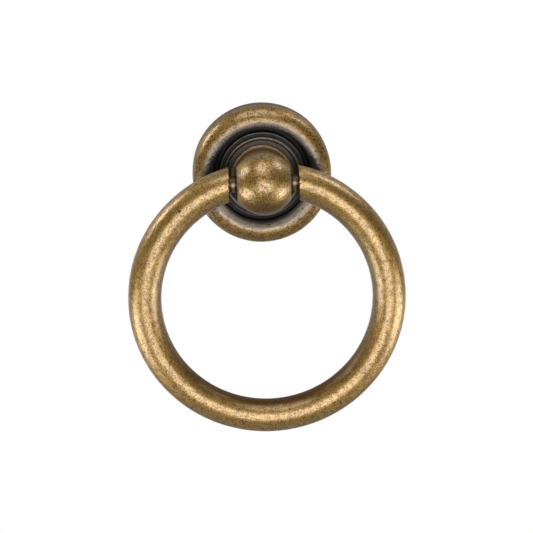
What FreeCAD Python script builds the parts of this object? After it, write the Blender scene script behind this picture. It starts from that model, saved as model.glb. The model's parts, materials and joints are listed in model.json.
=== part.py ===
"""Ring pull for a drawer or cupboard door: a turned rose, a ball-headed post and a swinging ring.

All sizes are in millimetres. The rose's back rests on the door in the plane y = 0 and the pull stands
out towards -Y, with +X to the right and +Z up. The origin is where the screw's axis meets the door.
"""

import FreeCAD
import Part

import math
import os

# Ring: a round bar bent into a circle, open at the top, with a pin on each end
RING_RADIUS = 22.0
BAR_DIAMETER = 6.0
BAR_END_ROUND = 0.4
END_GAP = 1.3
PIN_DIAMETER = 3.0
PIN_REACH = 3.0
PIN_TIP_CHAMFER = 0.3
PIN_CLEARANCE = 0.06

# Ball-headed post: a ball with a flat on each side, on a short neck and a round-edged collar
BALL_DIAMETER = 11.3
FLAT_EDGE_ROUND = 0.2
NECK_DIAMETER = 7.6
NECK_LENGTH = 2.72
NECK_COVE = 1.0
COLLAR_DIAMETER = 11.4
COLLAR_THICKNESS = 0.9
COLLAR_ROUND = 0.4
SHANK_DIAMETER = 7.0
SHANK_CLEARANCE = 0.05
RIVET_FLARE = 0.7
RIVET_DEPTH = 0.8

# Screw hole in the post's back, at the drill size for an M4 thread
SCREW_HOLE_DIAMETER = 3.3
SCREW_HOLE_DEPTH = 8.0
SCREW_MOUTH_CHAMFER = 0.3
DRILL_POINT_ANGLE = 118.0

# Rose: a round plate with a boldly rounded rim, a deep channel and a stepped boss that carries the post
ROSE_DIAMETER = 25.3
RIM_HEIGHT = 6.0
RIM_ROUND = 2.7
RIM_INNER_ROUND = 1.15
RIM_INNER_SLOPE = 0.15
CHANNEL_WIDTH = 0.94
CHANNEL_FLOOR = 2.3
CHANNEL_ROUND = 0.45
FLANGE_HEIGHT = 4.0
FLANGE_LEDGE = 0.76
FLANGE_EDGE_ROUND = 0.15
BEAD_HEIGHT = 4.75
BEAD_WIDTH = 0.45
BEAD_ROUND = 0.2
GROOVE_WIDTH = 0.22
GROOVE_DEPTH = 0.35
SEAT_HEIGHT = 4.5
SEAT_MARGIN = 0.63
SEAT_EDGE_ROUND = 0.08

# Back of the rose: relieved between a bearing rim and a hub round the post
BACK_EDGE_ROUND = 0.3
BEARING_WIDTH = 1.6
RELIEF_DEPTH = 1.2
RELIEF_ROUND = 0.5
HUB_WALL = 1.6
HUB_SETBACK = 0.2
HUB_EDGE_ROUND = 0.2

# Places that follow from the sizes above; "out" is the distance from the door
ball_radius = BALL_DIAMETER / 2
bar_radius = BAR_DIAMETER / 2
neck_radius = NECK_DIAMETER / 2
collar_radius = COLLAR_DIAMETER / 2
shank_radius = SHANK_DIAMETER / 2
collar_front = SEAT_HEIGHT + COLLAR_THICKNESS
pivot_out = collar_front + NECK_LENGTH + math.sqrt(ball_radius ** 2 - neck_radius ** 2)
flat_x = math.sqrt(ball_radius ** 2 - bar_radius ** 2)
bar_end_x = flat_x + END_GAP
ring_drop = math.sqrt(RING_RADIUS ** 2 - bar_end_x ** 2)

DOOR_AXIS = FreeCAD.Vector(0, 1, 0)
SIDE_AXIS = FreeCAD.Vector(1, 0, 0)


def place(across, out, up=0.0):
    """A point given by its distance from the door."""
    return FreeCAD.Vector(across, -out, up)


def corner_cuts(points, rounds):
    """Half the angle at each corner, and how far its round reaches, with rounds that share a side kept on it."""
    count = len(points)
    half_turns = []
    wanted = []
    for i in range(count):
        before = points[i - 1] - points[i]
        after = points[(i + 1) % count] - points[i]
        half_turns.append(before.getAngle(after) / 2)
        wanted.append(rounds[i] / math.tan(half_turns[i]))
    cuts = []
    for i in range(count):
        fit = 1.0
        for j in (i - 1, (i + 1) % count):
            together = wanted[i] + wanted[j]
            if together > 0:
                fit = min(fit, 0.998 * points[i].distanceToPoint(points[j]) / together)
        cuts.append(wanted[i] * fit)
    return half_turns, cuts


def rounded_outline(corners):
    """A closed face from corners (radius, out, round), each round one replaced by a tangent arc."""
    count = len(corners)
    points = [place(radius, out) for radius, out, _ in corners]
    half_turns, cuts = corner_cuts(points, [corner[2] for corner in corners])
    edges = []
    last_end = None
    first_start = None
    for i in range(count):
        corner = points[i]
        cut = cuts[i]
        before = (points[i - 1] - corner).normalize()
        after = (points[(i + 1) % count] - corner).normalize()
        start = corner + before * cut
        end = corner + after * cut
        if last_end is not None and start.distanceToPoint(last_end) > 1e-6:
            edges.append(Part.LineSegment(last_end, start).toShape())
        if cut > 1e-6:
            centre_distance = cut / math.cos(half_turns[i])
            arc_radius = cut * math.tan(half_turns[i])
            inward = (before + after).normalize()
            middle = corner + inward * (centre_distance - arc_radius)
            edges.append(Part.Arc(start, middle, end).toShape())
        if first_start is None:
            first_start = start
        last_end = end
    if first_start.distanceToPoint(last_end) > 1e-6:
        edges.append(Part.LineSegment(last_end, first_start).toShape())
    return Part.Face(Part.Wire(edges))


def turned(corners):
    """A solid turned about the screw's axis from its half section."""
    return rounded_outline(corners).revolve(FreeCAD.Vector(), DOOR_AXIS, 360)


def cross_bar(radius, start_x, length, chamfer=0.0):
    """A round bar on the pivot axis, with its tip towards -X chamfered."""
    bar = Part.makeCylinder(radius, length, place(start_x, pivot_out), SIDE_AXIS)
    if chamfer > 0:
        tip = [edge for edge in bar.Edges if edge.BoundBox.XMax < start_x + 1e-6]
        bar = bar.makeChamfer(chamfer, tip)
    return bar


def make_rose():
    """The round plate, as one turned section: rim, channel, stepped boss, post hole and relieved back."""
    outer = ROSE_DIAMETER / 2
    seat = collar_radius + SEAT_MARGIN
    bead_inner = seat + GROOVE_WIDTH
    bead_outer = bead_inner + BEAD_WIDTH
    flange = bead_outer + FLANGE_LEDGE
    rim_inner = flange + CHANNEL_WIDTH
    groove_floor = SEAT_HEIGHT - GROOVE_DEPTH
    hole = shank_radius + SHANK_CLEARANCE
    hub = hole + RIVET_FLARE + HUB_WALL
    return turned([
        (outer, 0, BACK_EDGE_ROUND),
        (outer, RIM_HEIGHT, RIM_ROUND),
        (rim_inner + RIM_INNER_SLOPE, RIM_HEIGHT, RIM_INNER_ROUND),
        (rim_inner, CHANNEL_FLOOR, CHANNEL_ROUND),
        (flange, CHANNEL_FLOOR, CHANNEL_ROUND),
        (flange, FLANGE_HEIGHT, FLANGE_EDGE_ROUND),
        (bead_outer, FLANGE_HEIGHT, FLANGE_EDGE_ROUND),
        (bead_outer, BEAD_HEIGHT, BEAD_ROUND),
        (bead_inner, BEAD_HEIGHT, BEAD_ROUND),
        (bead_inner, groove_floor, 0),
        (seat, groove_floor, 0),
        (seat, SEAT_HEIGHT, SEAT_EDGE_ROUND),
        (hole, SEAT_HEIGHT, 0),
        (hole, HUB_SETBACK + RIVET_DEPTH, 0),
        (hole + RIVET_FLARE, HUB_SETBACK, 0),
        (hub, HUB_SETBACK, HUB_EDGE_ROUND),
        (hub, RELIEF_DEPTH, RELIEF_ROUND),
        (outer - BEARING_WIDTH, RELIEF_DEPTH, RELIEF_ROUND),
        (outer - BEARING_WIDTH, 0, BACK_EDGE_ROUND),
    ])


def make_ball():
    """The ball with a flat for each end of the ring, each flat as wide as the bar that faces it."""
    ball = Part.makeSphere(ball_radius, place(0, pivot_out), DOOR_AXIS)
    slab_corner = place(-flat_x, pivot_out + ball_radius, -ball_radius)
    ball = ball.common(Part.makeBox(2 * flat_x, BALL_DIAMETER, BALL_DIAMETER, slab_corner))
    rims = [edge for edge in ball.Edges if edge.BoundBox.XLength < 1e-6]
    return ball.makeFillet(FLAT_EDGE_ROUND, rims)


def make_screw_hole():
    """The drilled hole for the door screw: chamfered mouth, straight wall and drill point."""
    hole_radius = SCREW_HOLE_DIAMETER / 2
    bottom = HUB_SETBACK + SCREW_HOLE_DEPTH
    point = hole_radius / math.tan(math.radians(DRILL_POINT_ANGLE / 2))
    return turned([
        (0, HUB_SETBACK, 0),
        (hole_radius + SCREW_MOUTH_CHAMFER, HUB_SETBACK, 0),
        (hole_radius, HUB_SETBACK + SCREW_MOUTH_CHAMFER, 0),
        (hole_radius, bottom, 0),
        (0, bottom + point, 0),
    ])


def make_ball_post():
    """The post: ball, neck, collar and a shank riveted over behind the rose, drilled for pins and screw."""
    stem = turned([
        (0, HUB_SETBACK, 0),
        (shank_radius + RIVET_FLARE, HUB_SETBACK, 0),
        (shank_radius, HUB_SETBACK + RIVET_DEPTH, 0),
        (shank_radius, SEAT_HEIGHT, 0),
        (collar_radius, SEAT_HEIGHT, COLLAR_ROUND),
        (collar_radius, collar_front, COLLAR_ROUND),
        (neck_radius, collar_front, NECK_COVE),
        (neck_radius, collar_front + NECK_LENGTH, 0),
        (0, pivot_out, 0),
    ])
    pin_hole = cross_bar(PIN_DIAMETER / 2 + PIN_CLEARANCE, -ball_radius, BALL_DIAMETER)
    return stem.fuse(make_ball()).removeSplitter().cut(pin_hole).cut(make_screw_hole())


def make_ring():
    """The open ring, with the bar's ends cut square to the pivot axis and a pin on each."""
    centre = place(0, pivot_out, -ring_drop)
    ring = Part.makeTorus(RING_RADIUS, bar_radius, centre, DOOR_AXIS)
    opening_corner = place(-bar_end_x, pivot_out + BAR_DIAMETER, -ring_drop)
    ring = ring.cut(Part.makeBox(2 * bar_end_x, 2 * BAR_DIAMETER, 2 * RING_RADIUS, opening_corner))
    ends = [edge for edge in ring.Edges if edge.BoundBox.XLength < 1e-3]
    ring = ring.makeFillet(BAR_END_ROUND, ends)
    pin_length = END_GAP + PIN_REACH + bar_radius
    pin = cross_bar(PIN_DIAMETER / 2, flat_x - PIN_REACH, pin_length, PIN_TIP_CHAMFER)
    other_pin = pin.mirror(FreeCAD.Vector(), SIDE_AXIS)
    return ring.fuse([pin, other_pin]).removeSplitter()


def main():
    os.makedirs("parts", exist_ok=True)
    pieces = {
        "rose": make_rose(),
        "ball_post": make_ball_post(),
        "pull_ring": make_ring(),
    }
    for name, shape in pieces.items():
        solid = shape.Solids[0]
        print(f"{name}: valid {solid.isValid()}, solids {len(shape.Solids)}, volume {solid.Volume:.1f} mm3")
        solid.exportStep(f"parts/{name}.step")
    print(f"pivot {pivot_out:.3f} out, ring drop {ring_drop:.3f}, flat {flat_x:.3f}, bar end {bar_end_x:.3f}")


main()
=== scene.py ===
"""A ring pull in antiqued brass: a turned rose, a ball-headed post and a ring that swings in the ball."""

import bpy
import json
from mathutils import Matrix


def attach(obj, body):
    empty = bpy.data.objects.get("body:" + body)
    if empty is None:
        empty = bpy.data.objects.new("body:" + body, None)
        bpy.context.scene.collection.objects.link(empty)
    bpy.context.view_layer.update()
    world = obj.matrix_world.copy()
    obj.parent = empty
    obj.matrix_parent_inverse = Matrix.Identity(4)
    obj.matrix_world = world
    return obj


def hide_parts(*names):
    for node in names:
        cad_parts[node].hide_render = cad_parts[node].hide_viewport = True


bl_info = {
    "name": "Ring Pull",
    "version": (1, 0, 0),
    "blender": (4, 5, 0),
    "location": "3D View > Sidebar > Ring Pull",
    "description": "Makes an antiqued brass ring pull: rose, ball-headed post and swinging ring",
    "category": "Mesh",
}

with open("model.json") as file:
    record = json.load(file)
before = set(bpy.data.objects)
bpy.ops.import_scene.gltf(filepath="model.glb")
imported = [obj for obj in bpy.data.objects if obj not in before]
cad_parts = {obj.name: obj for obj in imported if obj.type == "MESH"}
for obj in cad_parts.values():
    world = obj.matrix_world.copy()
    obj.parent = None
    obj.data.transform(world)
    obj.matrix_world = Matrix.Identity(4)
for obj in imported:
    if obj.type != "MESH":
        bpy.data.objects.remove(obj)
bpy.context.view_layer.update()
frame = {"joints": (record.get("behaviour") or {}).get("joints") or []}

import json
import math
from collections import namedtuple

import bmesh
import bpy
from bpy.props import FloatProperty, FloatVectorProperty, PointerProperty
from mathutils import Matrix, Vector, noise

MM = 0.001
MERGE_DISTANCE = 0.0005 * MM
SHARP_ANGLE = math.radians(38)
BASE_BODY = "base"
RING_BODY = "ring"

# The ring's hinge line runs along X through this point
PIVOT = Vector(frame["joints"][0]["pos_m"])
DOOR_AXIS = Vector((0, 1, 0))
OUTWARDS = Vector((0, -1, 0))
HINGE_AXIS = Vector((1, 0, 0))
# Turns a flat circle to face along the hinge line
FACE_HINGE = Matrix.Rotation(math.pi / 2, 4, "Y")

# How many steps go round each turned or bent form
ROSE_STEPS = 288
POST_STEPS = 192
CIRCLE_STEPS = 96
DRILL_STEPS = 64
THREAD_STEPS = 48
RING_STEPS = 220

# Longest steps along a round, a straight side and the ball's outline, and the steps of small rounds
ROUND_STEP = 0.11 * MM
STRAIGHT_STEP = 0.3 * MM
BALL_STEP = 0.25 * MM
FEWEST_ROUND_STEPS = 4
FLAT_EDGE_STEPS = 4
BAR_END_STEPS = 5

# The share of a side that two rounds may take up together
ROUND_FIT = 0.998
# The share of the ball's radius beyond which a point is on its outside
BALL_OUTSIDE = 0.995
# The bend runs past the plane of the bar's end, to this share of its angle from the top, and is then cut
BEND_STOP = 0.8
THREAD_RUNOUT = 0.05 * MM
END_TOLERANCE = 0.01 * MM

LACQUER_ROUGHNESS = 0.25
LACQUER_IOR = 1.93
BUMP_STRENGTH = 0.5
BUMP_DEPTH = 0.02 * MM

# Pits and nicks in the finish: place and radius in millimetres
RIM_PITS = (
    ((1.0, -5.56, -9.0), 0.24),
    ((7.1, -5.85, -6.2), 0.19),
    ((-9.0, -5.3, 7.6), 0.2),
    ((-9.2, -5.3, 7.2), 0.14),
)
RING_PIT = ((-15.0, -15.2, -3.95), 0.27)

SENSOR_WIDTH = 36.0
CLIP_START = 0.01
CLIP_END = 10.0
WHITE = (1.0, 1.0, 1.0, 1.0)
FLOOR_GREY = (0.62, 0.62, 0.62, 1.0)
# The share of white in what the camera sees of the floor
FLOOR_WHITENING = 0.75


def size(label, millimetres, description):
    """A length that a user may change, given in millimetres."""
    return FloatProperty(
        name=label,
        description=description,
        default=millimetres * MM,
        min=0.0,
        precision=5,
        subtype="DISTANCE",
        unit="LENGTH",
    )


def colour(label, red, green, blue, description):
    """A linear colour that a user may change."""
    return FloatVectorProperty(
        name=label,
        description=description,
        default=(red, green, blue, 1.0),
        min=0.0,
        max=1.0,
        size=4,
        subtype="COLOR",
    )


def share(label, default, description):
    """A plain number from nothing to one."""
    return FloatProperty(
        name=label,
        description=description,
        default=default,
        min=0.0,
        max=1.0,
        subtype="FACTOR",
    )


def angle(label, degrees, description):
    """An angle that a user may change, given in degrees."""
    return FloatProperty(
        name=label,
        description=description,
        default=math.radians(degrees),
        subtype="ANGLE",
        unit="ROTATION",
    )


class RoseSizes(bpy.types.PropertyGroup):
    """Sizes of the rose, the round plate that sits on the door."""

    diameter: size("Diameter", 25.3, "Across the rose's side wall")
    rim_height: size("Rim height", 6.0, "From the door to the crest of the rim")
    rim_round: size("Rim round", 2.7, "Bold round from the side wall to the crest")
    rim_inner_round: size("Inner round", 1.15, "Smaller round from the crest into the channel")
    rim_inner_slope: size("Rim slope", 0.15, "How far the rim's inner wall leans out")
    channel_width: size("Channel width", 0.94, "Between the boss and the rim")
    channel_floor: size("Channel floor", 2.3, "From the door to the bottom of the channel")
    channel_round: size("Channel round", 0.45, "Round in the channel's corners")
    flange_height: size("Flange height", 4.0, "From the door to the boss's first step")
    flange_ledge: size("Flange ledge", 0.76, "Width of the first step")
    flange_edge_round: size("Flange edge", 0.15, "Round on the first step's edge")
    bead_height: size("Bead height", 4.75, "From the door to the top of the bead")
    bead_width: size("Bead width", 0.45, "Width of the bead round the boss")
    bead_round: size("Bead round", 0.2, "Round on the bead's edges")
    groove_width: size("Groove width", 0.22, "Width of the groove inside the bead")
    groove_depth: size("Groove depth", 0.35, "Depth of the groove below the seat")
    seat_height: size("Seat height", 4.5, "From the door to the seat of the post's collar")
    seat_margin: size("Seat margin", 0.63, "Width of the seat outside the collar")
    seat_edge_round: size("Seat edge", 0.08, "Round on the seat's edge")
    back_edge_round: size("Back edge", 0.3, "Round on the edges that bear on the door")
    bearing_width: size("Bearing width", 1.6, "Width of the rim that bears on the door")
    relief_depth: size("Relief depth", 1.2, "Depth of the hollow in the back")
    relief_round: size("Relief round", 0.5, "Round in the hollow's corners")
    hub_wall: size("Hub wall", 1.6, "Wall round the riveted shank")
    hub_setback: size("Hub setback", 0.2, "How far the hub stands clear of the door")
    hub_edge_round: size("Hub edge", 0.2, "Round on the hub's edge")


class PostSizes(bpy.types.PropertyGroup):
    """Sizes of the post with its ball head, collar, riveted shank and threaded hole."""

    ball_diameter: size("Ball", 11.3, "Diameter of the ball")
    flat_edge_round: size("Flat edge", 0.2, "Round on the edge of the ball's flats")
    neck_diameter: size("Neck", 7.6, "Diameter of the neck behind the ball")
    neck_cove: size("Neck cove", 1.0, "Hollow round between the neck and the collar")
    neck_fillet: size("Neck fillet", 0.25, "Small fillet between the neck and the ball")
    collar_diameter: size("Collar", 11.4, "Diameter of the collar")
    collar_thickness: size("Collar thickness", 0.9, "Thickness of the collar")
    collar_round: size("Collar round", 0.4, "Round on the collar's edges")
    shank_diameter: size("Shank", 7.0, "Diameter of the shank in the rose")
    shank_clearance: size("Shank clearance", 0.05, "Gap between the shank and its hole, on the radius")
    rivet_flare: size("Rivet flare", 0.7, "How far the shank's end is spread")
    rivet_depth: size("Rivet depth", 0.8, "Depth of the spread end")
    pin_bore_clearance: size("Pin clearance", 0.06, "Gap between a pin and its bore, on the radius")
    thread_diameter: size("Thread", 4.0, "Outer diameter of the screw thread")
    thread_core: size("Thread core", 3.3, "Drilled diameter of the threaded hole")
    thread_pitch: size("Thread pitch", 0.7, "Advance of the thread in one turn")
    hole_depth: size("Hole depth", 8.0, "Depth of the threaded hole")
    mouth_chamfer: size("Mouth chamfer", 0.35, "Chamfer at the mouth of the hole")
    drill_point: angle("Drill point", 118.0, "Full angle of the drilled hole's end")


class RingSizes(bpy.types.PropertyGroup):
    """Sizes of the ring and of the two pins that it swings on."""

    ring_radius: size("Ring radius", 22.0, "From the ring's middle to the middle of its bar")
    bar_diameter: size("Bar", 6.0, "Diameter of the bar")
    bar_end_round: size("End round", 0.4, "Round on the edge of the bar's ends")
    end_gap: size("End gap", 1.3, "Gap between a flat of the ball and the bar's end")
    pin_diameter: size("Pin", 3.0, "Diameter of the pins")
    pin_reach: size("Pin reach", 3.0, "How far each pin goes into the ball")
    pin_tip_chamfer: size("Pin tip", 0.3, "Chamfer on the tips of the pins")


class BrassFinish(bpy.types.PropertyGroup):
    """Colours and surface of the antiqued brass."""

    brass: colour("Brass", 0.59, 0.356, 0.08, "Rubbed brass")
    # The tarnish colour also serves as painted shade where a look is dull
    tarnish: colour("Tarnish", 0.215, 0.105, 0.015, "Brown tarnish in patches")
    speck: colour("Specks", 0.05, 0.026, 0.008, "Dark specks")
    smoke: colour("Smoke", 0.42, 0.36, 0.295, "Grey metal between the rubbed brass and the black")
    # The black colour also serves as painted shade and painted shadow where a look asks for black
    black: colour("Black", 0.02, 0.019, 0.018, "Blackened metal in the recesses and pits")
    polish: share("Polish", 0.42, "Roughness of the rubbed brass")
    tarnish_roughness: share("Tarnish roughness", 0.56, "Roughness of the tarnish")
    lacquer: share("Lacquer", 1.0, "Weight of the clear lacquer")
    unevenness: size("Unevenness", 0.018, "How far the hand-finished surfaces wander")
    patch: size("Patch", 3.2, "Width of one such wander")


class StageSettings(bpy.types.PropertyGroup):
    """The camera, the floor and the light."""

    camera_distance: size("Camera distance", 300.0, "From the hinge to the camera")
    camera_turn: angle("Camera turn", -1.7, "How far the camera stands to the right")
    camera_lift: angle("Camera lift", 13.835, "How far the camera stands above the hinge")
    camera_roll: angle("Camera roll", -1.771, "How far the camera is rolled")
    hinge_across: FloatProperty(
        name="Hinge across",
        description="How far right of the picture's middle the hinge lies",
        default=-0.495 * MM,
        subtype="DISTANCE",
        unit="LENGTH",
    )
    hinge_up: size("Hinge up", 14.739, "How far above the picture's middle the hinge lies")
    lens: FloatProperty(name="Lens", description="Focal length in millimetres", default=114.53, min=1.0)
    floor_drop: size("Floor drop", 500.0, "From the screw's axis down to the floor")
    floor_radius: size("Floor radius", 500.0, "Radius of the round floor")
    room_level: share("Room", 0.07, "Light of the room in front of the pull")
    sweep_level: share("Sweep", 0.42, "Light of the pale surroundings behind and beside the pull")
    ceiling_level: share("Ceiling", 0.38, "Light of the surroundings above and behind the pull")


PROPERTY_GROUPS = {
    "ring_pull_rose": RoseSizes,
    "ring_pull_post": PostSizes,
    "ring_pull_ring": RingSizes,
    "ring_pull_finish": BrassFinish,
    "ring_pull_stage": StageSettings,
}


class Signal:
    """A shader socket that works in sums: each operation adds a Math node."""

    def __init__(self, sheet, socket):
        self.sheet = sheet
        self.socket = socket

    def _math(self, operation, first, second):
        inputs = {"Value": first, "Value_001": second}
        return self.sheet.node("ShaderNodeMath", {"operation": operation}, inputs)

    def __add__(self, other):
        return self._math("ADD", self, other)

    def __radd__(self, other):
        return self._math("ADD", other, self)

    def __sub__(self, other):
        return self._math("SUBTRACT", self, other)

    def __rsub__(self, other):
        return self._math("SUBTRACT", other, self)

    def __mul__(self, other):
        return self._math("MULTIPLY", self, other)

    def __rmul__(self, other):
        return self._math("MULTIPLY", other, self)

    def __truediv__(self, other):
        return self._math("DIVIDE", self, other)

    def __rtruediv__(self, other):
        return self._math("DIVIDE", other, self)

    def __pow__(self, other):
        return self._math("POWER", self, other)

    def __rpow__(self, other):
        return self._math("POWER", other, self)

    def most(self, other):
        """The larger of two signals."""
        return self._math("MAXIMUM", self, other)

    def least(self, other):
        """The smaller of two signals."""
        return self._math("MINIMUM", self, other)

    def rise(self, low, high):
        """A smooth step from 0 at low to 1 at high; with high below low it falls instead."""
        return self.sheet.node(
            "ShaderNodeMapRange",
            {"interpolation_type": "SMOOTHSTEP"},
            {"Value": self, "From Min": low, "From Max": high},
        )

    def band(self, middle, half_width, edge):
        """1 within half_width of middle, fading to 0 over edge."""
        distance = self.sheet.node("ShaderNodeMath", {"operation": "ABSOLUTE"}, {"Value": self - middle})
        return distance.rise(half_width + edge, half_width)


class NodeSheet:
    """A cleared node tree, with the one method that adds nodes to it."""

    def __init__(self, tree):
        self.tree = tree
        tree.nodes.clear()

    def node(self, kind, settings=None, inputs=None, output=0):
        """Adds a node, sets it up, fills or links its sockets and returns one of its outputs."""
        node = self.tree.nodes.new(kind)
        for name, value in (settings or {}).items():
            setattr(node, name, value)
        sockets = {socket.identifier: socket for socket in node.inputs}
        for name, value in (inputs or {}).items():
            if isinstance(value, Signal):
                self.tree.links.new(value.socket, sockets[name])
            else:
                sockets[name].default_value = value
        if not node.outputs:
            return None
        outputs = {socket.identifier: socket for socket in node.outputs}
        return Signal(self, outputs[output] if isinstance(output, str) else node.outputs[output])

    def mix(self, factor, first, second):
        """Two colours mixed by a factor."""
        return self.node(
            "ShaderNodeMix",
            {"data_type": "RGBA"},
            {"Factor_Float": factor, "A_Color": first, "B_Color": second},
            "Result_Color",
        )

    def point(self):
        """The place on the piece in millimetres."""
        metres = self.node("ShaderNodeTexCoord", output="Object")
        inputs = {"Vector": metres, "Scale": 1 / MM}
        return self.node("ShaderNodeVectorMath", {"operation": "SCALE"}, inputs, "Vector")

    def split(self, vector):
        """The three parts of a vector."""
        return [self.node("ShaderNodeSeparateXYZ", None, {"Vector": vector}, part) for part in "XYZ"]

    def clouds(self, point, per_mm, detail, roughness):
        """Smooth noise with so many patches to the millimetre."""
        return self.node(
            "ShaderNodeTexNoise",
            {"noise_dimensions": "3D"},
            {"Vector": point, "Scale": per_mm, "Detail": detail, "Roughness": roughness},
            "Fac",
        )

    def pits(self, point, per_mm, radius):
        """Scattered round pits: 1 in a pit and 0 outside."""
        inputs = {"Vector": point, "Scale": per_mm}
        spread = self.node("ShaderNodeTexVoronoi", {"feature": "F1"}, inputs, "Distance")
        return spread.rise(radius, radius * 0.45)

    def spot(self, point, place, radius):
        """One round mark at a place in millimetres: 1 in it and 0 outside."""
        inputs = {"Vector": point, "Vector_001": place}
        apart = self.node("ShaderNodeVectorMath", {"operation": "DISTANCE"}, inputs, "Value")
        return apart.rise(radius * 1.3, radius * 0.5)


# Each part of a look is a signal or a number from 0 to 1: how far the metal is blackened, smoky grey,
# dull brown, rubbed bright and pitted; at some places the black and dull parts are painted shade instead
Look = namedtuple("Look", "black smoke dull rubbed pitted")


def brass_material(name, finish, looks):
    """Antiqued brass under lacquer: rubbed metal with brown patches, specks, pits and black recesses, plus
    painted shade where a piece's look asks for it.
    """
    material = bpy.data.materials.new(name)
    material.use_nodes = True
    sheet = NodeSheet(material.node_tree)
    point = sheet.point()
    look = looks(sheet, point)

    clouds = sheet.clouds(point, per_mm=0.26, detail=3.0, roughness=0.55)
    mottle = sheet.clouds(point, per_mm=1.1, detail=4.0, roughness=0.65)
    grain = sheet.clouds(point, per_mm=4.4, detail=2.0, roughness=0.65)
    scatter = sheet.pits(point, per_mm=0.5, radius=0.06)

    tarnish = (0.1 * clouds + 0.34 * mottle + 0.56 * grain).rise(0.44, 0.56)
    # A look's dull part, partly painted shade, turns the metal to tarnish and takes its lacquer off
    worn = (tarnish * (1 - 0.55 * look.rubbed)).most(look.dull)
    specks = (0.6 * grain + 0.4 * mottle).rise(0.52, 0.66) * (1 - 0.3 * look.rubbed)
    pits = scatter.most(look.pitted)
    matt = look.smoke * (1 - look.rubbed)

    metal = sheet.mix(worn, finish.brass, finish.tarnish)
    metal = sheet.mix(look.smoke, metal, finish.smoke)
    metal = sheet.mix(0.72 * specks, metal, finish.speck)
    metal = sheet.mix(look.black.most(0.92 * pits), metal, finish.black)

    roughness = finish.polish + (finish.tarnish_roughness - finish.polish) * worn
    roughness = roughness.most(0.55 * look.black).most(0.68 * matt)
    lacquer = finish.lacquer * (1 - 0.2 * tarnish) * (1 - 0.4 * specks) * (1 - 0.7 * look.dull)
    lacquer = lacquer * (1 - 0.8 * look.black) * (1 - 0.7 * matt) * (1 - 0.9 * pits)

    relief = 0.5 * mottle + 0.35 * grain - 0.8 * pits
    bump = sheet.node(
        "ShaderNodeBump",
        None,
        {"Strength": BUMP_STRENGTH, "Distance": BUMP_DEPTH, "Height": relief},
    )
    shader = sheet.node(
        "ShaderNodeBsdfPrincipled",
        None,
        {
            "Base Color": metal,
            "Metallic": 1 - 0.75 * matt,
            "Roughness": roughness,
            "Normal": bump,
            "Coat Weight": lacquer,
            "Coat Roughness": LACQUER_ROUGHNESS,
            "Coat IOR": LACQUER_IOR,
        },
    )
    sheet.node("ShaderNodeOutputMaterial", None, {"Surface": shader})
    return material


def everything(bm):
    """All the geometry of a bmesh."""
    return bm.verts[:] + bm.edges[:] + bm.faces[:]


def bevel(bm, geometry, affect, offset, steps):
    """Rounds vertices or edges."""
    bmesh.ops.bevel(
        bm,
        geom=geometry,
        offset=offset,
        offset_type="OFFSET",
        affect=affect,
        segments=steps,
        profile=0.5,
        material=-1,
    )


def cut_away(bm, place, away):
    """Cuts a bmesh at a plane and drops what lies beyond it."""
    bmesh.ops.bisect_plane(
        bm,
        geom=everything(bm),
        dist=MERGE_DISTANCE,
        plane_co=place,
        plane_no=away,
        clear_outer=True,
    )


def corner_cuts(points, rounds):
    """Half the angle at each corner, and the reach of its round with rounds on one side kept apart."""
    count = len(points)
    half_turns = []
    for i, corner in enumerate(points):
        before = points[i - 1] - corner
        after = points[(i + 1) % count] - corner
        half_turns.append(before.angle(after) / 2)
    wanted = [rounding / math.tan(half_turn) for rounding, half_turn in zip(rounds, half_turns)]
    cuts = []
    for i in range(count):
        fit = 1.0
        for j in (i - 1, (i + 1) % count):
            together = wanted[i] + wanted[j]
            if together > 0:
                fit = min(fit, ROUND_FIT * (points[i] - points[j]).length / together)
        cuts.append(wanted[i] * fit)
    return half_turns, cuts


def rounded_wire(bm, corners, closed):
    """A wire in the plane of X and Y through corners (radius, out, round), each corner bevelled round."""
    verts = [bm.verts.new((radius, -out, 0)) for radius, out, _ in corners]
    for first, second in zip(verts, verts[1:]):
        bm.edges.new((first, second))
    if closed:
        bm.edges.new((verts[-1], verts[0]))
    half_turns, cuts = corner_cuts([vert.co.copy() for vert in verts], [corner[2] for corner in corners])
    for vert, half_turn, cut in zip(verts, half_turns, cuts):
        if cut == 0:
            continue
        sweep = (math.pi - 2 * half_turn) * cut * math.tan(half_turn)
        bevel(bm, [vert], "VERTICES", cut, max(FEWEST_ROUND_STEPS, math.ceil(sweep / ROUND_STEP)))
    divide_long_runs(bm, bm.edges[:], STRAIGHT_STEP)
    return bm.verts[:] + bm.edges[:]


def divide_long_runs(bm, edges, step):
    """Splits straight edges into runs no longer than the step."""
    for edge in edges:
        cuts = math.ceil(edge.calc_length() / step) - 1
        if cuts > 0:
            bmesh.ops.subdivide_edges(bm, edges=[edge], cuts=cuts)


def turn(bm, geometry, steps, axis=DOOR_AXIS, centre=Vector()):
    """Turns a wire all the way round an axis and closes its seam and poles."""
    bmesh.ops.spin(
        bm,
        geom=geometry,
        cent=centre,
        axis=axis,
        dvec=(0, 0, 0),
        angle=math.tau,
        steps=steps,
        use_merge=True,
        use_duplicate=False,
    )
    close_seams(bm)


def close_seams(bm):
    """Merges doubled points and turns all faces outwards."""
    bmesh.ops.remove_doubles(bm, verts=bm.verts[:], dist=MERGE_DISTANCE)
    bmesh.ops.recalc_face_normals(bm, faces=bm.faces[:])


def hand_finish(bm, verts, finish):
    """Lets a turned or cast surface wander a little along its normals."""
    bm.normal_update()
    for vert in verts:
        vert.co += vert.normal * (finish.unevenness * noise.noise(vert.co / finish.patch))


def boundary_loop(bm, test):
    """The open edges whose two ends both pass a test."""
    return [edge for edge in bm.edges if edge.is_boundary and all(test(vert.co) for vert in edge.verts)]


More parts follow.
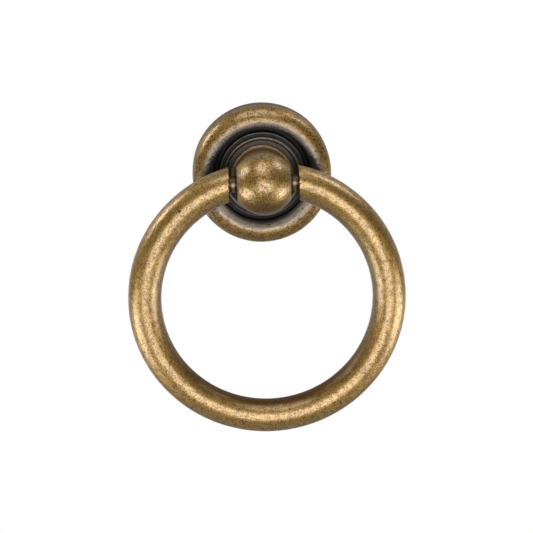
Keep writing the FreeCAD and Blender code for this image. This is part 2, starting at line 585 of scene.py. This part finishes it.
def finish_piece(bm, name, material, body, node):
    """Makes the piece's object, smooth but for its sharp edges, on its body and in its node's place."""
    mesh = bpy.data.meshes.new(name)
    bm.to_mesh(mesh)
    bm.free()
    if not mesh.polygons:
        raise RuntimeError(f"{name} has no faces")
    mesh.shade_smooth()
    mesh.set_sharp_from_angle(angle=SHARP_ANGLE)
    mesh.materials.append(material)
    piece = bpy.data.objects.new(name, mesh)
    bpy.context.scene.collection.objects.link(piece)
    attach(piece, body)
    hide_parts(node)


def rose_radii(rose, post):
    """The radii of the rose's steps, from the post's collar outwards."""
    seat = post.collar_diameter / 2 + rose.seat_margin
    bead_inner = seat + rose.groove_width
    bead_outer = bead_inner + rose.bead_width
    flange = bead_outer + rose.flange_ledge
    return seat, bead_inner, bead_outer, flange, flange + rose.channel_width


def rose_section(rose, post):
    """The rose's half section: side wall, rim, channel, stepped boss, post hole and relieved back."""
    outer = rose.diameter / 2
    seat, bead_inner, bead_outer, flange, rim_inner = rose_radii(rose, post)
    groove_floor = rose.seat_height - rose.groove_depth
    hole = post.shank_diameter / 2 + post.shank_clearance
    hub = hole + post.rivet_flare + rose.hub_wall
    relief = outer - rose.bearing_width
    return [
        (outer, 0, rose.back_edge_round),
        (outer, rose.rim_height, rose.rim_round),
        (rim_inner + rose.rim_inner_slope, rose.rim_height, rose.rim_inner_round),
        (rim_inner, rose.channel_floor, rose.channel_round),
        (flange, rose.channel_floor, rose.channel_round),
        (flange, rose.flange_height, rose.flange_edge_round),
        (bead_outer, rose.flange_height, rose.flange_edge_round),
        (bead_outer, rose.bead_height, rose.bead_round),
        (bead_inner, rose.bead_height, rose.bead_round),
        (bead_inner, groove_floor, 0),
        (seat, groove_floor, 0),
        (seat, rose.seat_height, rose.seat_edge_round),
        (hole, rose.seat_height, 0),
        (hole, rose.hub_setback + post.rivet_depth, 0),
        (hole + post.rivet_flare, rose.hub_setback, 0),
        (hub, rose.hub_setback, rose.hub_edge_round),
        (hub, rose.relief_depth, rose.relief_round),
        (relief, rose.relief_depth, rose.relief_round),
        (relief, 0, rose.back_edge_round),
    ]


def axis_distance(sheet, point):
    """How far a place is from the screw's axis, out from the door, to the right and up, in millimetres."""
    across, along, up = sheet.split(point)
    radius = (across * across + up * up) ** 0.5
    return radius, 0 - along, across, up


def rim_marks(sheet, point, across, up, front):
    """The pits and nicks in the rose's rim, and one scratch at its top."""
    scratch = (across + 0.176 * up).band(-0.31, 0.05, 0.1) * up.band(10.75, 0.7, 0.3) * front
    marks = 0.7 * scratch
    for place, radius in RIM_PITS:
        marks = marks.most(sheet.spot(point, place, radius))
    return marks


def rose_look(rose, post):
    """The rose: black channel and boss with worn lines, smoky inner round and dull wall, with painted
    shadow of the bar at the sides and painted shade at the top and on the upper slope.
    """
    seat, bead_inner, bead_outer, flange, rim_inner = (value / MM for value in rose_radii(rose, post))
    outer = rose.diameter / 2 / MM
    rim_top = rose.rim_height / MM
    flange_top = rose.flange_height / MM
    bead_top = rose.bead_height / MM
    seat_top = rose.seat_height / MM
    bead_middle = (bead_inner + bead_outer) / 2

    def looks(sheet, point):
        radius, out, across, up = axis_distance(sheet, point)
        wander = sheet.clouds(point, per_mm=2.4, detail=3.0, roughness=0.75) - 0.5
        front = out.rise(1.7, 2.0)
        low = up.rise(-1, -6)
        side = (across * across) / (radius * radius)
        flank = side * side * side

        # The black reaches further up the rim at the sides, behind the bar, as painted shadow of the bar,
        # and less far below, leaving the top darker as painted shade
        # The low term is painted shade: less black below, so the upper rim stays darker
        reach = radius - flank * flank * (1.4 - 0.9 * low) + 2.2 * wander + 0.75 * low
        floor = out.rise(4.0, 2.9) * radius.rise(rim_inner + 0.9, rim_inner + 0.6)
        # Painted shadow of the bar on the rim's flanks, next to the ring
        painted_bar_shadow = flank * flank * radius.rise(rim_inner + 3.8, rim_inner + 2.2)
        channel = reach.rise(rim_inner + 1.3, rim_inner - 0.05).most(floor).most(0.4 * painted_bar_shadow)
        boss = radius.rise(rim_inner - 0.2, rim_inner - 0.5)

        # Wear has taken the black off the bead, the flange's edge and the upper part of the seat
        flange_edge = radius.band(flange, 0.12, 0.08) * out.rise(flange_top - 0.5, flange_top - 0.15)
        bead = radius.band(bead_middle, bead_outer - bead_middle, 0.08)
        bead = bead * out.rise(bead_top - 0.3, bead_top - 0.1)
        bead_brass = 0.7 * bead * (0.3 * up - 0.4 * across + 9 * wander).rise(1.2, 4.6)
        seat_face = radius.rise(bead_inner, seat) * out.rise(seat_top - 0.2, seat_top - 0.05)
        worn_bead = bead * (0.6 + 0.4 * (3.2 * wander).rise(-0.5, 0.6))
        worn_seat = 0.35 * seat_face * up.rise(0, 4)
        worn = worn_bead.most(0.7 * flange_edge).most(worn_seat) * (1 - 0.6 * side * side)
        black = channel.most(boss) * front * (1 - 0.85 * worn)
        back_edge = out.rise(0.75, 0.35) * radius.rise(outer - 0.4, outer - 0.2)

        smoke = (radius - 0.8 * side * side + 2.6 * wander).rise(rim_inner + 1.9, rim_inner + 0.5)
        wall = out.rise(rim_top - 2.0, rim_top - 2.9) * radius.rise(outer - 0.3, outer - 0.1)
        # The boss duller towards the sides: painted shade by the bar, over a light even dullness
        dull_boss_with_side_shade = boss * front * (0.2 + side).least(1)
        # Painted shade dulling the upper part of the rim's inner round
        painted_upper_slope_shade = 0.45 * radius.rise(rim_inner + 2.6, rim_inner + 1.8) * up.rise(0, 6) * front
        return Look(
            black=black.most(0.7 * back_edge),
            smoke=smoke * front * (1 - bead_brass),
            dull=wall.most(0.2).most(dull_boss_with_side_shade).most(painted_upper_slope_shade),
            rubbed=bead_brass.most(0.7 * flange_edge),
            pitted=rim_marks(sheet, point, across, up, front),
        )

    return looks


class RINGPULL_OT_rose(bpy.types.Operator):
    """Turn the rose from its half section and black its channel and boss"""

    bl_idname = "ringpull.rose"
    bl_label = "Rose"
    bl_options = {"REGISTER", "UNDO"}

    def execute(self, context):
        scene = context.scene
        rose, post, finish = scene.ring_pull_rose, scene.ring_pull_post, scene.ring_pull_finish
        bm = bmesh.new()
        turn(bm, rounded_wire(bm, rose_section(rose, post), closed=True), ROSE_STEPS)
        rim_inner = rose_radii(rose, post)[-1]
        rim = [
            vert
            for vert in bm.verts
            if math.hypot(vert.co.x, vert.co.z) > rim_inner and -vert.co.y > rose.relief_depth
        ]
        hand_finish(bm, rim, finish)
        material = brass_material("rose_antique_brass", finish, rose_look(rose, post))
        finish_piece(bm, "turned_rose", material, BASE_BODY, "rose")
        return {"FINISHED"}


def ball_flat(post, ring):
    """How far each flat of the ball is from its middle: the flats are as wide as the bar."""
    return math.sqrt((post.ball_diameter / 2) ** 2 - (ring.bar_diameter / 2) ** 2)


def make_ball(bm, post, ring, finish):
    """The ball with its flats and its bore for the pins, turned about the hinge line."""
    ball = post.ball_diameter / 2
    flat = ball_flat(post, ring)
    bore = ring.pin_diameter / 2 + post.pin_bore_clearance
    half_sweep = math.asin(flat / ball)
    right = bm.verts.new(PIVOT + Vector((flat, 0, ring.bar_diameter / 2)))
    arc = bmesh.ops.spin(
        bm,
        geom=[right],
        cent=PIVOT,
        axis=OUTWARDS,
        dvec=(0, 0, 0),
        angle=2 * half_sweep,
        steps=CIRCLE_STEPS,
        use_duplicate=False,
    )
    left = arc["geom_last"][0]
    bore_ends = [bm.verts.new(PIVOT + Vector((side * flat, 0, bore))) for side in (1, -1)]
    bm.edges.new((right, bore_ends[0]))
    bm.edges.new((left, bore_ends[1]))
    bm.edges.new(bore_ends)
    for corner in (right, left):
        bevel(bm, [corner], "VERTICES", post.flat_edge_round, FLAT_EDGE_STEPS)
    divide_long_runs(bm, bm.edges[:], BALL_STEP)
    turn(bm, bm.verts[:] + bm.edges[:], POST_STEPS, HINGE_AXIS, PIVOT)
    outside = [vert for vert in bm.verts if (vert.co - PIVOT).length > BALL_OUTSIDE * ball]
    hand_finish(bm, outside, finish)


def make_stem(bm, rose, post, neck_end):
    """The stem from the mouth of the screw hole over shank, collar and neck to the ball."""
    shank = post.shank_diameter / 2
    collar = post.collar_diameter / 2
    neck = post.neck_diameter / 2
    mouth = post.thread_core / 2 + post.mouth_chamfer
    collar_front = rose.seat_height + post.collar_thickness
    section = rounded_wire(bm, [
        (mouth, rose.hub_setback, 0),
        (shank + post.rivet_flare, rose.hub_setback, 0),
        (shank, rose.hub_setback + post.rivet_depth, 0),
        (shank, rose.seat_height, 0),
        (collar, rose.seat_height, post.collar_round),
        (collar, collar_front, post.collar_round),
        (neck, collar_front, post.neck_cove),
        (neck, neck_end, 0),
    ], closed=False)
    turn(bm, section, POST_STEPS)


def make_thread(bm, rose, post):
    """The threaded wall of the screw hole, cut square at both ends. Returns where it starts and ends."""
    core = post.thread_core / 2
    root = post.thread_diameter / 2
    pitch = post.thread_pitch
    start = rose.hub_setback + post.mouth_chamfer
    end = rose.hub_setback + post.hole_depth
    crest_flat = pitch / 4
    root_flat = pitch / 8
    flank = (pitch - crest_flat - root_flat) / 2
    turns = math.ceil((end - start) / pitch) + 2
    first = start - pitch
    profile = [
        (core, 0),
        (core, crest_flat),
        (root, crest_flat + flank),
        (root, crest_flat + flank + root_flat),
        (core, pitch),
    ]
    verts = [bm.verts.new((radius, -first - along, 0)) for radius, along in profile]
    edges = [bm.edges.new(pair) for pair in zip(verts, verts[1:])]
    bmesh.ops.spin(
        bm,
        geom=verts + edges,
        cent=(0, 0, 0),
        axis=OUTWARDS,
        dvec=OUTWARDS * (pitch / THREAD_STEPS),
        angle=math.tau * turns,
        steps=THREAD_STEPS * turns,
        use_duplicate=False,
    )
    bmesh.ops.remove_doubles(bm, verts=bm.verts[:], dist=MERGE_DISTANCE)
    cut_away(bm, OUTWARDS * start, DOOR_AXIS)
    cut_away(bm, OUTWARDS * end, OUTWARDS)
    return start, end


def make_drill_point(bm, post, end):
    """The cone that the drill leaves at the bottom of the screw hole."""
    core = post.thread_core / 2
    point = core / math.tan(post.drill_point / 2)
    rim = bm.verts.new((core, -end - THREAD_RUNOUT, 0))
    tip = bm.verts.new((0, -end - THREAD_RUNOUT - point, 0))
    turn(bm, [rim, tip, bm.edges.new((rim, tip))], DRILL_STEPS)


def at_out(place):
    """A test for points at a distance from the door."""
    return lambda co: abs(co.y + place) < 2 * MERGE_DISTANCE


def join_loops(bm, *tests):
    """Bridges two open loops, each found by its test."""
    edges = [edge for test in tests for edge in boundary_loop(bm, test)]
    bmesh.ops.bridge_loops(bm, edges=edges)


def merged(bm, make, *arguments):
    """Adds to bm what a maker puts in a bmesh of its own, and returns what the maker returns."""
    own = bmesh.new()
    result = make(own, *arguments)
    mesh = bpy.data.meshes.new("shape")
    own.to_mesh(mesh)
    own.free()
    bm.from_mesh(mesh)
    bpy.data.meshes.remove(mesh)
    return result


def post_look(rose, post):
    """The post: black bores, dull cove and collar, smoky flats and back, and painted shade on the ball's
    bottom.
    """
    ball = post.ball_diameter / 2 / MM
    collar = post.collar_diameter / 2 / MM
    collar_front = (rose.seat_height + post.collar_thickness) / MM
    pivot_out = -PIVOT.y / MM

    def looks(sheet, point):
        radius, out, across, up = axis_distance(sheet, point)
        ahead = out - pivot_out
        from_ball = (across * across + ahead * ahead + up * up) ** 0.5
        inside = from_ball.rise(ball - 0.15, ball - 0.4) * out.rise(collar_front + 1.5, collar_front + 2.2)
        behind = out.rise(collar_front + 1.4, collar_front + 0.6)
        edge = radius.rise(collar - 0.6, collar - 0.2)
        face = behind * (1 - edge)
        near_flat = (across * across).rise(0.5 * ball * ball, 0.7 * ball * ball)
        smoke = (0.5 * near_flat).most(0.5 * ahead.rise(0.5, -2.5)) * (1 - 0.7 * behind)
        # Painted shade under the ball, darkening and dulling its bottom
        painted_ball_bottom_shade = up.rise(-1.4, -3.3) * ahead.rise(-1.5, 1.0)
        return Look(
            black=inside.most(0.4 * face).most(0.3 * painted_ball_bottom_shade),
            smoke=smoke,
            dull=face.most(0.7 * behind).most(0.6 * painted_ball_bottom_shade),
            rubbed=0.2,
            pitted=0.0,
        )

    return looks


class RINGPULL_OT_post(bpy.types.Operator):
    """Turn the post, join its ball to its neck and cut its thread"""

    bl_idname = "ringpull.post"
    bl_label = "Ball-headed post"
    bl_options = {"REGISTER", "UNDO"}

    def execute(self, context):
        scene = context.scene
        rose, post, ring, finish = (
            scene.ring_pull_rose,
            scene.ring_pull_post,
            scene.ring_pull_ring,
            scene.ring_pull_finish,
        )
        ball = post.ball_diameter / 2
        neck = post.neck_diameter / 2
        cut_radius = neck + post.neck_fillet
        cut_out = -PIVOT.y - math.sqrt(ball ** 2 - cut_radius ** 2)
        neck_end = -PIVOT.y - math.sqrt(ball ** 2 - neck ** 2) - post.neck_fillet
        bm = bmesh.new()
        merged(bm, make_ball, post, ring, finish)
        cut_away(bm, OUTWARDS * cut_out, DOOR_AXIS)
        merged(bm, make_stem, rose, post, neck_end)
        join_loops(bm, at_out(cut_out), at_out(neck_end))
        start, end = merged(bm, make_thread, rose, post)
        merged(bm, make_drill_point, post, end)
        join_loops(bm, at_out(rose.hub_setback), at_out(start))
        join_loops(bm, at_out(end), at_out(end + THREAD_RUNOUT))
        close_seams(bm)
        material = brass_material("post_antique_brass", finish, post_look(rose, post))
        finish_piece(bm, "ball_headed_post", material, BASE_BODY, "ball_post")
        return {"FINISHED"}


def make_half_ring(bm, post, ring, finish):
    """The right half of the ring, from its lowest point to the bar's square end, whose X it returns."""
    bar = ring.bar_diameter / 2
    end_x = ball_flat(post, ring) + ring.end_gap
    drop = math.sqrt(ring.ring_radius ** 2 - end_x ** 2)
    centre = PIVOT - Vector((0, 0, drop))
    lowest = centre - Vector((0, 0, ring.ring_radius))
    bmesh.ops.create_circle(
        bm,
        cap_ends=False,
        segments=CIRCLE_STEPS,
        radius=bar,
        matrix=Matrix.Translation(lowest) @ FACE_HINGE,
    )
    stop = BEND_STOP * math.asin(end_x / (ring.ring_radius + bar))
    bmesh.ops.spin(
        bm,
        geom=bm.verts[:] + bm.edges[:],
        cent=centre,
        axis=OUTWARDS,
        dvec=(0, 0, 0),
        angle=math.pi - stop,
        steps=RING_STEPS,
        use_duplicate=False,
    )
    hand_finish(bm, bm.verts[:], finish)
    upper = [face for face in bm.faces if face.calc_center_median().z > centre.z]
    upper_edges = list({edge for face in upper for edge in face.edges})
    upper_verts = list({vert for face in upper for vert in face.verts})
    bmesh.ops.bisect_plane(
        bm,
        geom=upper_verts + upper_edges + upper,
        dist=MERGE_DISTANCE,
        plane_co=(end_x, 0, 0),
        plane_no=HINGE_AXIS,
        clear_inner=True,
    )
    return end_x


def make_bar_end(bm, ring, end_x):
    """Closes the bar's end, rounds its edge and grows the pin out of it, loop by loop."""
    lowest = PIVOT.z - ring.bar_diameter
    at_end = boundary_loop(bm, lambda co: co.z > lowest and co.x < end_x + END_TOLERANCE)
    end_face = bmesh.ops.contextual_create(bm, geom=at_end)["faces"][0]
    bmesh.ops.recalc_face_normals(bm, faces=bm.faces[:])
    bevel(bm, end_face.edges[:], "EDGES", ring.bar_end_round, BAR_END_STEPS)
    end_face = max(bm.faces, key=lambda face: len(face.verts))
    bmesh.ops.delete(bm, geom=[end_face], context="FACES_ONLY")
    loop = boundary_loop(bm, lambda co: abs(co.x - end_x) < END_TOLERANCE)
    pin = ring.pin_diameter / 2
    chamfer = ring.pin_tip_chamfer
    tip_x = end_x - ring.end_gap - ring.pin_reach
    for x, radius in ((end_x, pin), (tip_x + chamfer, pin), (tip_x, pin - chamfer)):
        grown = bmesh.ops.extrude_edge_only(bm, edges=loop)["geom"]
        loop = [item for item in grown if isinstance(item, bmesh.types.BMEdge) and item.is_boundary]
        for vert in grown:
            if isinstance(vert, bmesh.types.BMVert):
                spoke = Vector((0, vert.co.y - PIVOT.y, vert.co.z - PIVOT.z)).normalized()
                vert.co = Vector((x, PIVOT.y, PIVOT.z)) + spoke * radius
    bmesh.ops.contextual_create(bm, geom=loop)


def ring_look(post, ring):
    """The ring: bar ends and pin roots black, partly patina and partly painted shade in the gaps; dull
    pins with painted shade on their upper halves; inner side grey at the sides and brown below, with
    painted shade darkening it towards the bottom.
    """
    flat_x = ball_flat(post, ring) / MM
    end_x = (ball_flat(post, ring) + ring.end_gap) / MM
    middle_radius = ring.ring_radius / MM
    bar = ring.bar_diameter / 2 / MM
    drop = math.sqrt(middle_radius ** 2 - end_x ** 2)

    def looks(sheet, point):
        across, _, up = sheet.split(point)
        height = up + drop
        from_centre = (across * across + height * height) ** 0.5
        aside = (across * across) ** 0.5
        wander = sheet.clouds(point, per_mm=0.7, detail=3.0, roughness=0.6) - 0.5
        inner = (from_centre + 1.2 * wander).rise(middle_radius - 0.45 * bar, middle_radius - 0.95 * bar)
        # Inner side partly unrubbed patina; lowest and shaded add painted shade darkening it towards the
        # bottom
        lowest = height.rise(-0.15 * middle_radius, -0.75 * middle_radius)
        shaded = inner * (0.1 + 0.18 * lowest)
        upper = up.rise(-6.0, -4.0)
        # Dark bar ends and pin roots: partly patina in the corners, partly painted shade in the narrow
        # gaps
        end = aside.rise(end_x - 0.45, end_x - 0.33) * aside.rise(end_x + 0.25, end_x)
        pin_root = aside.rise(flat_x + 0.48, flat_x + 0.34)
        # Pins: dull, and darker on their upper halves as painted shade
        pin = aside.rise(end_x - 0.3, end_x - 0.4) * upper
        dark_end = 0.9 * (end.most(pin_root) * upper)
        return Look(
            black=dark_end.most(shaded).most(0.5 * pin * up.rise(0.2, 1.0)),
            smoke=0.3 * inner * (1 - lowest),
            dull=(inner * (0.6 + 0.4 * lowest)).most(pin * (0.5 + 0.5 * up.rise(0.2, 0.8))),
            rubbed=0.5 * (1 - inner),
            pitted=sheet.spot(point, *RING_PIT),
        )

    return looks


class RINGPULL_OT_ring(bpy.types.Operator):
    """Bend the ring, square its ends and set its two pins"""

    bl_idname = "ringpull.ring"
    bl_label = "Swinging ring"
    bl_options = {"REGISTER", "UNDO"}

    def execute(self, context):
        scene = context.scene
        post, ring, finish = scene.ring_pull_post, scene.ring_pull_ring, scene.ring_pull_finish
        bm = bmesh.new()
        end_x = make_half_ring(bm, post, ring, finish)
        make_bar_end(bm, ring, end_x)
        bmesh.ops.mirror(
            bm,
            geom=everything(bm),
            matrix=Matrix.Identity(4),
            merge_dist=MERGE_DISTANCE,
            axis="X",
        )
        close_seams(bm)
        material = brass_material("ring_antique_brass", finish, ring_look(post, ring))
        finish_piece(bm, "swinging_ring", material, RING_BODY, "pull_ring")
        return {"FINISHED"}


Softbox = namedtuple("Softbox", "name azimuth elevation width height distance level")

# Angles and angular sizes in degrees as the pull sees them, the azimuth from straight ahead towards +X,
# and distances in metres; a level of 1 is white in a mirror
SOFTBOXES = (
    Softbox("front_softbox", 2, -3, 55, 44, 0.45, 2.6),
    Softbox("left_card", -68, -27, 46, 28, 0.30, 3.05),
    Softbox("right_card", 71, -25, 46, 30, 0.30, 2.95),
    Softbox("left_low_fill", -72, -34, 86, 42, 0.45, 0.26),
    Softbox("right_low_fill", 72, -34, 86, 42, 0.45, 0.32),
    Softbox("top_softbox", -6, 66, 46, 48, 0.45, 1.7),
    Softbox("left_strip", -97, 32, 26, 30, 0.45, 3.6),
    Softbox("right_strip", 98, 50, 24, 27, 0.45, 2.8),
)


def direction(azimuth, elevation):
    """The direction at an azimuth from straight ahead towards +X, and at an elevation."""
    return Vector((
        math.sin(azimuth) * math.cos(elevation),
        -math.cos(azimuth) * math.cos(elevation),
        math.sin(elevation),
    ))


def view_axes(stage):
    """The camera's right, up and backward directions."""
    back = direction(stage.camera_turn, stage.camera_lift)
    level_right = Vector((math.cos(stage.camera_turn), math.sin(stage.camera_turn), 0))
    level_up = back.cross(level_right)
    right = level_right * math.cos(stage.camera_roll) + level_up * math.sin(stage.camera_roll)
    return right, back.cross(right), back


def add_camera(scene, stage):
    """The camera at the picture's viewing angle."""
    right, up, back = view_axes(stage)
    camera = bpy.data.objects.new("camera", bpy.data.cameras.new("camera"))
    camera.data.lens = stage.lens
    camera.data.sensor_width = SENSOR_WIDTH
    camera.data.clip_start = CLIP_START
    camera.data.clip_end = CLIP_END
    place = PIVOT + back * stage.camera_distance - right * stage.hinge_across - up * stage.hinge_up
    camera.matrix_world = Matrix.Translation(place) @ Matrix((right, up, back)).transposed().to_4x4()
    scene.collection.objects.link(camera)
    scene.camera = camera


def add_softbox(scene, softbox):
    """A soft oval lamp that faces the hinge."""
    towards = direction(math.radians(softbox.azimuth), math.radians(softbox.elevation))
    lamp = bpy.data.lights.new(softbox.name, "AREA")
    lamp.shape = "ELLIPSE"
    lamp.size = 2 * softbox.distance * math.tan(math.radians(softbox.width / 2))
    lamp.size_y = 2 * softbox.distance * math.tan(math.radians(softbox.height / 2))
    lamp.energy = softbox.level * math.pi * (math.pi / 4 * lamp.size * lamp.size_y)
    holder = bpy.data.objects.new(softbox.name, lamp)
    holder.location = PIVOT + towards * softbox.distance
    holder.rotation_euler = (-towards).to_track_quat("-Z", "Y").to_euler()
    holder.visible_camera = False
    scene.collection.objects.link(holder)


def add_floor(scene, stage):
    """A round floor well below the ring, paler to the camera than to the metal."""
    bm = bmesh.new()
    bmesh.ops.create_circle(
        bm,
        cap_ends=True,
        segments=CIRCLE_STEPS,
        radius=stage.floor_radius,
        matrix=Matrix.Translation((0, 0, -stage.floor_drop)),
    )
    mesh = bpy.data.meshes.new("floor")
    bm.to_mesh(mesh)
    bm.free()
    material = bpy.data.materials.new("pale_floor")
    material.use_nodes = True
    sheet = NodeSheet(material.node_tree)
    matt = sheet.node("ShaderNodeBsdfDiffuse", None, {"Color": FLOOR_GREY})
    white = sheet.node("ShaderNodeEmission", None, {"Color": WHITE, "Strength": 1.0})
    seen = sheet.node("ShaderNodeLightPath", output="Is Camera Ray")
    surface = sheet.node(
        "ShaderNodeMixShader",
        None,
        {"Fac": FLOOR_WHITENING * seen, "Shader": matt, "Shader_001": white},
    )
    sheet.node("ShaderNodeOutputMaterial", None, {"Surface": surface})
    mesh.materials.append(material)
    floor = bpy.data.objects.new("floor", mesh)
    scene.collection.objects.link(floor)


def light_room(scene, stage):
    """White to the camera; the metal sees that white low behind the pull, a pale sweep and a dim room."""
    world = bpy.data.worlds.new("studio")
    world.use_nodes = True
    scene.world = world
    sheet = NodeSheet(world.node_tree)
    _, depth, height = sheet.split(sheet.node("ShaderNodeTexCoord", output="Generated"))
    around = stage.sweep_level + (stage.ceiling_level - stage.sweep_level) * height.rise(0.1, 0.8)
    shown = stage.room_level + (around - stage.room_level) * depth.rise(-0.1, 0.6)
    camera_ray = sheet.node("ShaderNodeLightPath", output="Is Camera Ray")
    glossy_ray = sheet.node("ShaderNodeLightPath", output="Is Glossy Ray")
    white = camera_ray.most(glossy_ray * depth.rise(0.6, 0.9) * height.rise(-0.05, -0.14))
    level = shown + (1 - shown) * white
    background = sheet.node("ShaderNodeBackground", None, {"Color": WHITE, "Strength": level})
    sheet.node("ShaderNodeOutputWorld", None, {"Surface": background})


class RINGPULL_OT_stage(bpy.types.Operator):
    """Set up the camera, the floor, the soft lamps and the white surroundings"""

    bl_idname = "ringpull.stage"
    bl_label = "Stage"
    bl_options = {"REGISTER", "UNDO"}

    def execute(self, context):
        scene = context.scene
        stage = scene.ring_pull_stage
        scene.view_settings.view_transform = "Standard"
        add_camera(scene, stage)
        add_floor(scene, stage)
        for softbox in SOFTBOXES:
            add_softbox(scene, softbox)
        light_room(scene, stage)
        return {"FINISHED"}


OPERATORS = (RINGPULL_OT_rose, RINGPULL_OT_post, RINGPULL_OT_ring, RINGPULL_OT_stage)


class RINGPULL_PT_panel(bpy.types.Panel):
    """The ring pull's pieces and sizes"""

    bl_idname = "RINGPULL_PT_panel"
    bl_label = "Ring Pull"
    bl_space_type = "VIEW_3D"
    bl_region_type = "UI"
    bl_category = "Ring Pull"

    def draw(self, context):
        for operator in OPERATORS:
            self.layout.operator(operator.bl_idname)
        for group_name, group in PROPERTY_GROUPS.items():
            box = self.layout.box()
            box.label(text=group.__doc__)
            for property_name in group.__annotations__:
                box.prop(getattr(context.scene, group_name), property_name)


CLASSES = (*PROPERTY_GROUPS.values(), *OPERATORS, RINGPULL_PT_panel)


def register():
    for cls in CLASSES:
        bpy.utils.register_class(cls)
    for name, group in PROPERTY_GROUPS.items():
        setattr(bpy.types.Scene, name, PointerProperty(type=group))


def unregister():
    for name in PROPERTY_GROUPS:
        delattr(bpy.types.Scene, name)
    for cls in reversed(CLASSES):
        bpy.utils.unregister_class(cls)


def main():
    register()
    bpy.ops.ringpull.rose()
    bpy.ops.ringpull.post()
    bpy.ops.ringpull.ring()
    bpy.ops.ringpull.stage()


if __name__ == "__main__":
    main()
